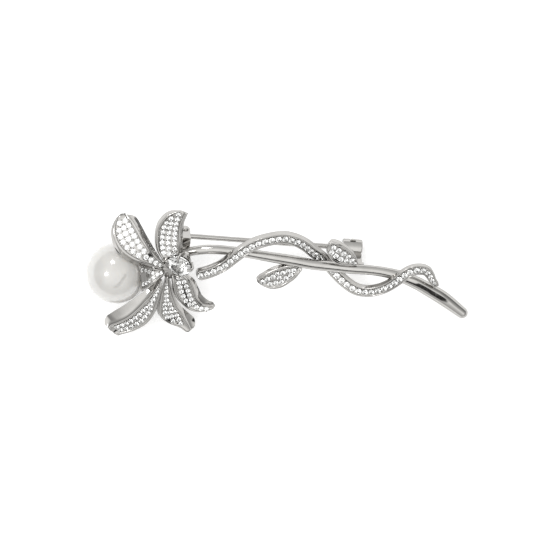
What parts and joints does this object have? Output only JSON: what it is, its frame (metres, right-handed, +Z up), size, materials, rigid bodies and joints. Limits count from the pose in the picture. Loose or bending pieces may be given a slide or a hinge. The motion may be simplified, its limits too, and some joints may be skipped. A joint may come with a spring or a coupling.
{
  "type": "flower brooch",
  "caption": "Brooch with a six-petal stone-set flower, a pearl and a vine winding round a stem, with a hinged pin and a turning safety catch.",
  "frame": {"origin": "middle of the footprint, on the surface that the brooch lies on", "axes": "+X along the stem from the flower to its free end, +Z up, off the surface; the front leans 33 degrees from up towards -Y"},
  "size_m": [0.0626, 0.0206, 0.0118],
  "materials": {
    "plated_metal": "bright rhodium-coloured plating",
    "pin_steel": "polished steel wire",
    "small_stones": "colourless round brilliants",
    "centre_stone": "colourless round brilliant",
    "pearl": "pearly lustre"
  },
  "bodies": {
    "brooch": {"stem": "plated_metal", "vine": "plated_metal", "vine_stones": "small_stones", "flower_hub": "plated_metal", "centre_basket": "plated_metal", "centre_prongs": "plated_metal", "centre_stone": "centre_stone", "pearl": "pearl", "pearl_cup": "plated_metal", "pearl_peg": "plated_metal", "hinge_base": "plated_metal", "hinge_rivet": "pin_steel", "catch_housing": "plated_metal", "petal_upper_left": "plated_metal", "petal_upper_left_stones": "small_stones", "petal_upper_right": "plated_metal", "petal_upper_right_stones": "small_stones", "petal_left": "plated_metal", "petal_left_stones": "small_stones", "petal_lower_left": "plated_metal", "petal_lower_left_stones": "small_stones", "petal_lower_middle": "plated_metal", "petal_lower_middle_stones": "small_stones", "petal_lower_right": "plated_metal", "petal_lower_right_stones": "small_stones", "leaf_lower": "plated_metal", "leaf_lower_stones": "small_stones", "leaf_upper": "plated_metal", "leaf_upper_stones": "small_stones"},
    "pin": {"pin_knuckle": "pin_steel", "pin_wire": "pin_steel"},
    "catch_sleeve": {"catch_rotor": "plated_metal", "catch_lever": "plated_metal"}
  },
  "joints": [
    {"name": "pin_hinge", "type": "hinge", "parent": "brooch", "child": "pin", "pos_m": [-0.01516, 0.00614, 0.00419], "axis": [0.1099, 0.8358, 0.538], "range_deg": [0, 85]},
    {"name": "catch_lock", "type": "hinge", "parent": "brooch", "child": "catch_sleeve", "pos_m": [0.01224, 0.00414, 0.00169], "axis": [-0.9933, 0.0725, 0.0903], "range_deg": [0, 53]}
  ]
}
